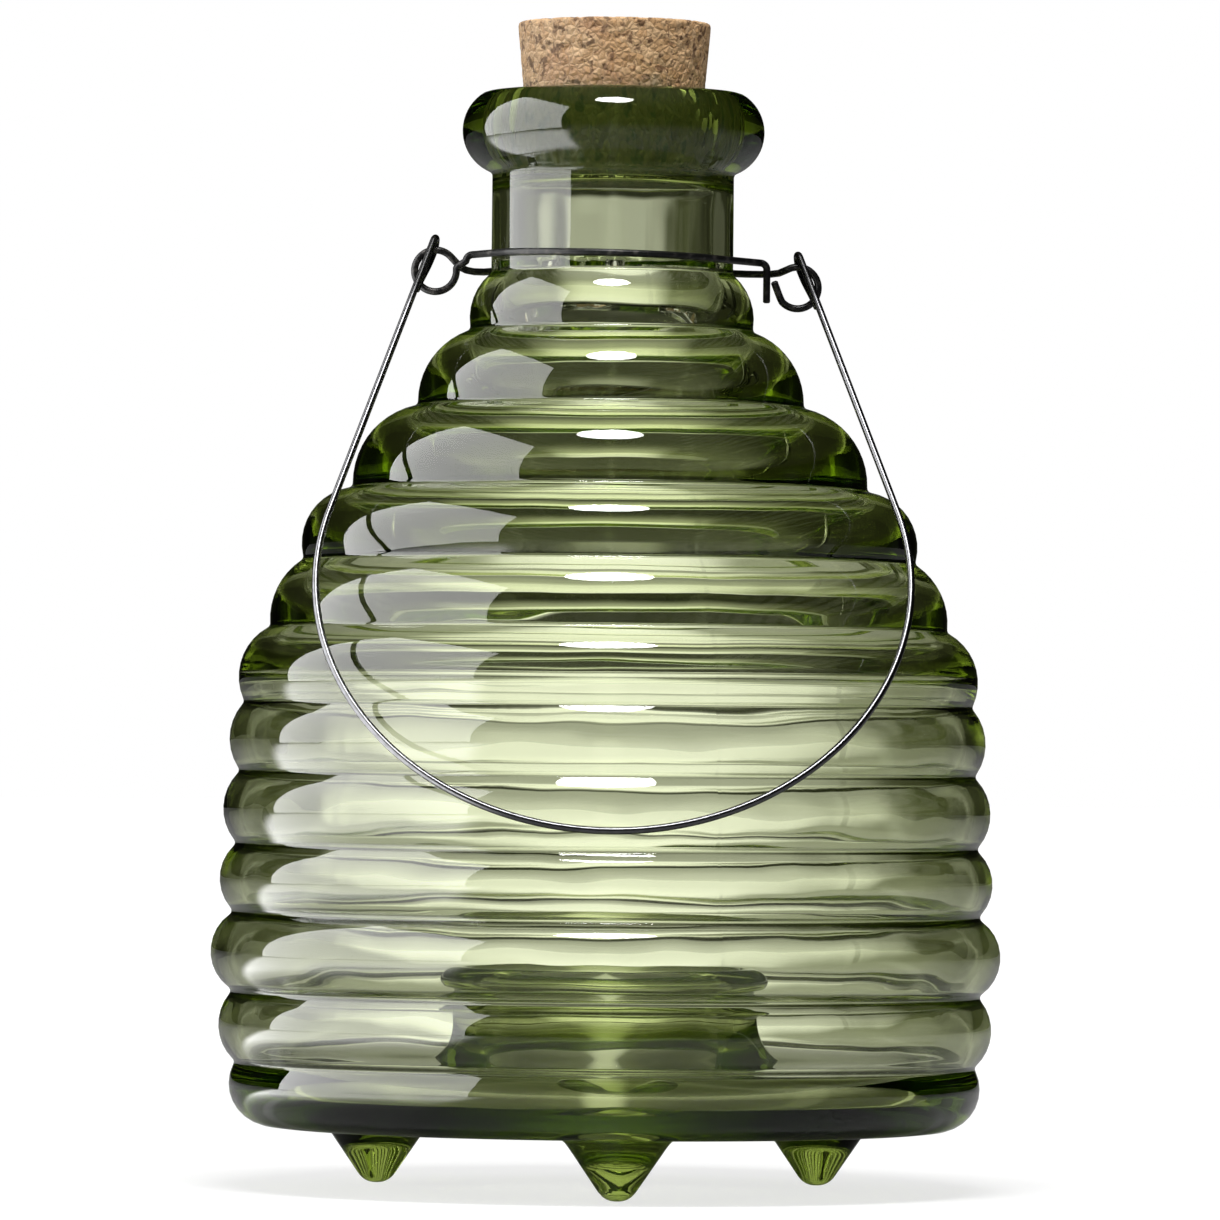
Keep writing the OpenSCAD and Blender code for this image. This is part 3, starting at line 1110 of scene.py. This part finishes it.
@dataclass
class Wires:
    """The collar round the neck and the bail that hangs in its eyes, in millimetres and degrees."""

    bottle: Bottle
    collar_d: float = 1.3
    collar_gap: float = 0.15
    collar_rise: float = 2.3
    eye_r: float = 3.75
    eye_lead: float = 10.0
    left_eye: Span = (10, -320)
    right_eye: Span = (120, -140)
    strand_step: float = 1.6
    bend_x: float = 6.1
    bend_r: float = 1.2
    front_dip: float = 0.8
    back_dip: float = 4.0
    hook_len: float = 7.0
    bail_d: float = 1.3
    pivot_x: float = 33.0
    wire_shift: float = 0.75
    eye_drop: float = 3.0
    bail_len: float = 123.0
    bow_r: float = 52.0
    link_r: float = 1.8
    loop_tip: float = 0.6
    loop_len: float = 9.5
    loop_steps: int = 6
    loop_turn: int = 15
    lay_gap: float = 0.1
    lean: float = 33.411
    arc_step: float = 10.0
    bow_step: float = 3.0

    def __post_init__(self) -> None:
        """Works out the hinge points and where the hoop lies on the neck."""
        neck_foot = self.bottle.neck_foot[1]
        self.collar_z = neck_foot + self.collar_rise
        self.back_z = neck_foot + self.collar_d / 2 + self.collar_gap
        self.hoop_r = self.bottle.neck_r + self.collar_gap + self.collar_d / 2
        self.bow_c = (0.0, self.bail_len - self.bow_r)
        self.hinges = [
            self._bail_point(side * self.pivot_x, side * self.eye_drop / 2, 0.0) for side in (-1, 1)
        ]

    def _bail_point(self, across: float, along: float, out: float) -> Vector:
        """A point of the bail, given in its own plane, placed where the bail rests.

        Args:
            across: Distance from the bail's middle.
            along: Distance from the hinge down the bail.
            out: Distance out of the bail's plane, away from the glass.

        Returns:
            The point.
        """
        a = math.radians(self.lean)
        return Vector((
            across + self.wire_shift,
            -along * math.sin(a) - out * math.cos(a),
            self.collar_z - along * math.cos(a) + out * math.sin(a),
        ))

    def _upright_arc(self, centre: Point, start: float, end: float, y: float) -> list[Vector]:
        """Points along one of the front run's bends.

        Args:
            centre: The bend's centre, across and up.
            start: Angle at which it starts.
            end: Angle at which it ends.
            y: Its place from front to back.

        Returns:
            The points.
        """
        angles = [math.radians(a) for a in spread(start, end, self.arc_step)]
        r = self.bend_r
        return [Vector((centre[0] + r * math.cos(a), y, centre[1] + r * math.sin(a))) for a in angles]

    def _eye(self, hinge: Vector, top: float, turn: Span, way: int) -> list[Vector]:
        """Points round an eye, which steps one wire pass aside in each turn.

        Args:
            hinge: The hinge point that the eye passes.
            top: Angle at which it passes that point.
            turn: Angles at which the eye starts and ends.
            way: 1 if it steps to the back, -1 if it steps to the front.

        Returns:
            The points.
        """
        t = math.radians(top)
        made = []
        for degrees in spread(*turn, self.arc_step):
            a = math.radians(degrees)
            aside = way * self.strand_step * (top - degrees) / 360
            made.append(hinge + Vector((
                self.eye_r * (math.cos(a) - math.cos(t)), aside, self.eye_r * (math.sin(a) - math.sin(t)),
            )))
        return made

    def _leaving(self, p: Vector, way: int, half: float = 0.0) -> float:
        """Angle round the neck at which a straight run to a point leaves it."""
        return half + math.degrees(math.atan(p.y / p.x) + way * math.acos(self.hoop_r / math.hypot(p.x, p.y)))

    def _hoop(self, start: float, end: float, z_start: float, z_end: float) -> list[Vector]:
        """Points round the neck from one side's run to the other's.

        Args:
            start: Angle at which the wire comes onto the neck.
            end: Angle at which it leaves the neck.
            z_start: Height at the start.
            z_end: Height at the end.

        Returns:
            The points.
        """
        angles = [math.radians(a) for a in spread(start, end, self.arc_step / 2)]
        r, rise, last = self.hoop_r, z_end - z_start, len(angles) - 1
        return [
            Vector((r * math.cos(a), r * math.sin(a), z_start + rise * k / last))
            for k, a in enumerate(angles)
        ]

    def collar_path(self) -> list[Vector]:
        """The collar's middle line, from the hook on the right to the caught end beside it.

        Returns:
            The points, before their corners are cut.
        """
        left, right = self.hinges
        hook = right + Vector((-self.bend_x, self.strand_step, self.front_dip))
        corner = left + Vector((self.bend_x, -self.strand_step, -self.front_dip))
        back_left = left + Vector((self.bend_x, self.strand_step, -self.back_dip))
        back_right = Vector((hook.x + self.collar_d, hook.y + self.strand_step, right.z - self.collar_d))
        bend = self.bend_r
        catch = right + Vector((-self.bend_x + self.collar_d, -self.strand_step, -self.back_dip + bend))
        back = self._leaving(back_left, -1, 180), self._leaving(back_right, 1)
        return [
            hook - Vector((0, 0, self.hook_len)),
            *self._upright_arc((hook.x - bend, hook.z - bend), 0, 90, hook.y),
            *self._hoop(self._leaving(hook, -1), self._leaving(corner, 1, -180), hook.z, corner.z),
            *self._upright_arc((corner.x + bend, corner.z - bend), 90, 180, corner.y),
            *self._eye(left, self.eye_lead - 270, self.left_eye, 1),
            back_left,
            *self._hoop(*back, self.back_z, self.back_z),
            back_right,
            *self._eye(right, 90 - self.eye_lead, self.right_eye, -1),
            catch,
        ]

    def _leg_end(self, hinge: Point, side: int) -> Point:
        """Where the straight leg from a hinge point meets the bow.

        Args:
            hinge: The hinge point, across and along the bail.
            side: -1 on the left, 1 on the right.

        Returns:
            The point, across and along the bail.
        """
        gap = (hinge[0] - self.bow_c[0], hinge[1] - self.bow_c[1])
        a = math.atan2(gap[1], gap[0]) + side * math.acos(self.bow_r / math.hypot(*gap))
        return self.bow_c[0] + self.bow_r * math.cos(a), self.bow_c[1] + self.bow_r * math.sin(a)

    def _end_loop(self, hinge: Point, side: int) -> list[tuple[float, float, float]]:
        """One end of the bail: it lies against the leg, leaves it and rounds the hinge.

        Args:
            hinge: The hinge point, across and along the bail.
            side: -1 on the left, 1 on the right.

        Returns:
            The points, across, along and out of the bail's plane.
        """
        end = self._leg_end(hinge, side)
        down = unit(end[0] - hinge[0], end[1] - hinge[1])
        laid = self.link_r - self.bail_d - self.lay_gap
        run = []
        for k in range(self.loop_steps):
            t = k / self.loop_steps
            run.append((self.loop_len * (1 - t), laid - (laid + self.link_r) * t * t * (3 - 2 * t)))
        angles = [math.radians(a) for a in range(0, 181, self.loop_turn)]
        turn = [(-self.loop_tip - self.link_r * math.sin(a), -self.link_r * math.cos(a)) for a in angles]
        return [(hinge[0] + down[0] * p, hinge[1] + down[1] * p, q) for p, q in (*run, *turn)]

    def bail_path(self) -> list[Vector]:
        """The bail's middle line at rest, from its left end loop round the bow to its right one.

        Returns:
            The points, before their corners are cut.
        """
        left, right = (-self.pivot_x, -self.eye_drop / 2), (self.pivot_x, self.eye_drop / 2)
        start, end = self._leg_end(left, -1), self._leg_end(right, 1)
        ends = bearing(self.bow_c, start), bearing(self.bow_c, end)
        bow = arc(self.bow_c, self.bow_r, *ends, Turn.RIGHT, self.bow_step)
        plane = [
            *self._end_loop(left, -1),
            *((u, v, self.link_r) for u, v in bow),
            *self._end_loop(right, 1)[::-1],
        ]
        return [self._bail_point(*p) for p in plane]

    def build(self) -> tuple[Object, Object]:
        """Sweeps both wires.

        Returns:
            The collar and the bail.
        """
        collar = [p * MM for p in softened(self.collar_path())]
        bail = [p * MM for p in softened(self.bail_path())]
        return swept("collar_wire", collar, self.collar_d * MM), swept("bail_wire", bail, self.bail_d * MM)


@dataclass(frozen=True)
class Softbox:
    """A lamp with an even face, in metres."""

    name: str
    shape: str
    place: tuple[float, float, float]
    aim: tuple[float, float, float]
    size: tuple[float, float]
    sheen_glow: float
    light_glow: float

    def hang(self, sheen: bool) -> None:
        """Hangs the lamp that shiny surfaces mirror, or the one in the same place that lights the rest.

        Args:
            sheen: Whether it is the lamp that shiny surfaces mirror.
        """
        kind, glow = ("sheen", self.sheen_glow) if sheen else ("light", self.light_glow)
        data = bpy.data.lights.new(f"{self.name}_{kind}", "AREA")
        data.shape = self.shape
        data.size, data.size_y = self.size
        data.energy = glow * math.pi * self.size[0] * self.size[1]
        made = linked(data.name, data)
        aim_at(made, self.place, self.aim)
        made.visible_camera = False
        made.visible_transmission = False
        made.visible_glossy = sheen
        made.visible_diffuse = not sheen


SOFTBOXES = (
    Softbox("left", "RECTANGLE", (-0.9, -0.31, 0.62), (0.0, -0.31, 0.62), (1.46, 1.5), 6.0, 3.6),
    Softbox("top", "ELLIPSE", (0.0, -0.53, 1.3), (0.0, 0.0, 0.1), (0.5, 0.36), 26.0, 30.0),
)


@dataclass
class Studio:
    """The pale floor, the light and the camera, in metres and degrees."""

    distance: float = 1.75
    camera_z: float = 0.079
    aim: Point = (0.0002, 0.1035)
    view_width: float = 0.218
    roll: float = 0.57
    sensor: float = 36.0
    clip_end: float = 50.0
    floor_reach: float = 12.0
    floor_drop: float = 0.0002
    floor_cloth: Colour = (0.3, 0.3, 0.3)
    floor_glow: float = 0.72
    floor_white: Span = (0.25, 1.2)
    # Painted shadow: the floor that glass and reflections show is darker near the trap, within this reach.
    painted_shadow_reach: Span = (0.05, 0.3)
    painted_shadow_level: float = 0.5
    surround: float = 0.32
    panels: int = 8
    panel_core: Span = (0.7, 1.0)
    panel_halo: Span = (-1.0, 0.8)
    panel_level: float = 1.0
    horizon: Span = (-0.04, 0.06)
    horizon_fall: float = 0.55
    panel_top: Span = (0.06, 0.3)
    dim_panel: float = 0.15
    ceiling: Span = (0.7, 0.95)
    ceiling_level: float = 0.7
    halo: Colour = (0.14, 0.15, 0.09)
    gap: Colour = (0.022, 0.023, 0.015)
    gloss_level: float = 0.15
    lit_way: float = 194.0
    lit_edge: Span = (0.7, 0.82)
    lit_near: Span = (0.06, 0.18)
    lit_far: Span = (0.5, 1.2)
    lit_glow: float = 5.4
    bounces: int = 32
    glass_bounces: int = 28
    gloss_bounces: int = 12

    def camera(self) -> None:
        """Sets the camera level with the trap, at the photograph's viewing angle."""
        data = bpy.data.cameras.new("camera")
        data.sensor_width = self.sensor
        data.lens = self.sensor * self.distance / self.view_width
        data.clip_end = self.clip_end
        holder = linked("camera", data)
        place = (0.0, -self.distance, self.camera_z)
        aim_at(holder, place, (self.aim[0], 0.0, self.aim[1]), self.roll)
        bpy.context.scene.camera = holder

    def panel(self, s: Shader, x: Flow, y: Flow, level: Flow, plain: Flow) -> Flow:
        """White panels round the trap, every second one dimmer, with olive edges and dark gaps between them.

        Args:
            s: The shader that shows them.
            x: Distance or direction to the right.
            y: Distance or direction to the back.
            level: Brightness of the panels.
            plain: How far plain white covers them.

        Returns:
            The colour seen in that direction.
        """
        turn = s.node("Math", {"operation": "ARCTAN2"}, {0: y, 1: x})
        dim = (turn * (self.panels / 2)).cosine() * ((1 - self.dim_panel) / 2) + (1 + self.dim_panel) / 2
        lobe = (turn * self.panels).cosine()
        beside = s.mix(lobe.rise(*self.panel_halo) * dim * level, self.gap, self.halo)
        return s.mix((lobe.rise(*self.panel_core) * dim * level).most(plain), beside, WHITE)

    def floor(self) -> None:
        """Lays a white floor that keeps the trap's shadow, with a lit part that only reflections show, and a
        painted shadow round the trap that glass and reflections show.
        """
        r, z = self.floor_reach, -self.floor_drop
        corners = np.array([(-r, -r, z), (r, -r, z), (r, r, z), (-r, r, z)])
        made = new_object("floor", corners, [(0, 1, 2, 3)])
        material, s = new_shader("white_floor")
        place = s.place()
        x, y, _ = s.axes(place)
        away = s.node("VectorMath", {"operation": "LENGTH"}, {0: place}, output="Value")
        camera, gloss = s.path("Is Camera Ray"), s.mirrored()
        lit_way = math.radians(self.lit_way)
        toward = (x * math.cos(lit_way) + y * math.sin(lit_way)) * away**-1
        reach = away.rise(*self.lit_near) * (1 - away.rise(*self.lit_far))
        lit = toward.rise(*self.lit_edge) * reach * gloss
        seen = s.path("Is Transmission Ray") + gloss * self.gloss_level + lit * self.lit_glow
        white = self.floor_glow + away.rise(*self.floor_white) * (1 - self.floor_glow)
        # Painted shadow: the panels seen through the glass and in reflections are dimmer near the trap.
        near = (self.painted_shadow_level + away.rise(*self.painted_shadow_reach) * (1 - self.painted_shadow_level)) * self.panel_level
        colour = self.panel(s, x, y, near, camera.most(lit))
        glow = s.node("Emission", inputs={"Color": colour, "Strength": camera * white + seen})
        cloth = s.node("BsdfDiffuse", inputs={"Color": self.floor_cloth})
        s.finish(Surface=s.node("AddShader", inputs={0: glow, 1: cloth}))
        made.data.materials.append(material)

    def world(self) -> None:
        """Surrounds the trap with white, with panels that glass and metal show, and with soft grey light."""
        world = bpy.data.worlds.new("studio")
        bpy.context.scene.world = world
        world.use_nodes = True
        s = Shader(world.node_tree)
        x, y, z = s.axes(s.node("TexCoord", output="Generated"))
        low_fall = z.rise(*self.horizon) * self.horizon_fall
        top_fall = z.rise(*self.panel_top) * (self.panel_level - self.horizon_fall)
        fade = self.panel_level - low_fall - top_fall
        camera, through_glass = s.path("Is Camera Ray"), s.path("Is Transmission Ray")
        gloss = s.mirrored()
        soft = 1 - camera.most(through_glass).most(gloss)
        plain = camera.most(soft).most(z.rise(*self.ceiling) * self.ceiling_level)
        colour = self.panel(s, x, y, fade, plain)
        level = camera + through_glass + gloss * self.gloss_level + soft * self.surround
        light = s.node("Background", inputs={"Color": colour, "Strength": level})
        s.raw("OutputWorld", inputs={"Surface": light})

    def build(self) -> None:
        """Sets up camera, floor, surroundings, lamps and how far light is followed through the glass."""
        self.camera()
        self.floor()
        self.world()
        for sheen in (True, False):
            for box in SOFTBOXES:
                box.hang(sheen)
        scene = bpy.context.scene
        scene.view_settings.view_transform = "Standard"
        scene.cycles.max_bounces = self.bounces
        scene.cycles.transmission_bounces = self.glass_bounces
        scene.cycles.glossy_bounces = self.gloss_bounces
        scene.cycles.use_denoising = True


def main() -> None:
    """Builds and dresses the trap's pieces and sets up the studio."""
    logging.basicConfig(level=logging.INFO, format="%(name)s: %(message)s")
    Studio().build()
    bottle = Bottle()
    dress(bottle.build(), Body.BOTTLE, "glass_bottle", GreenGlass().material())
    dress(Cork().build(), Body.CORK, "cork_stopper", PressedCork().material())
    collar, bail = Wires(bottle).build()
    dress(collar, Body.BOTTLE, "neck_collar", BlackWire().material())
    dress(bail, Body.BAIL, "bail_handle", BrightWire().material())


if __name__ == "__main__":
    main()
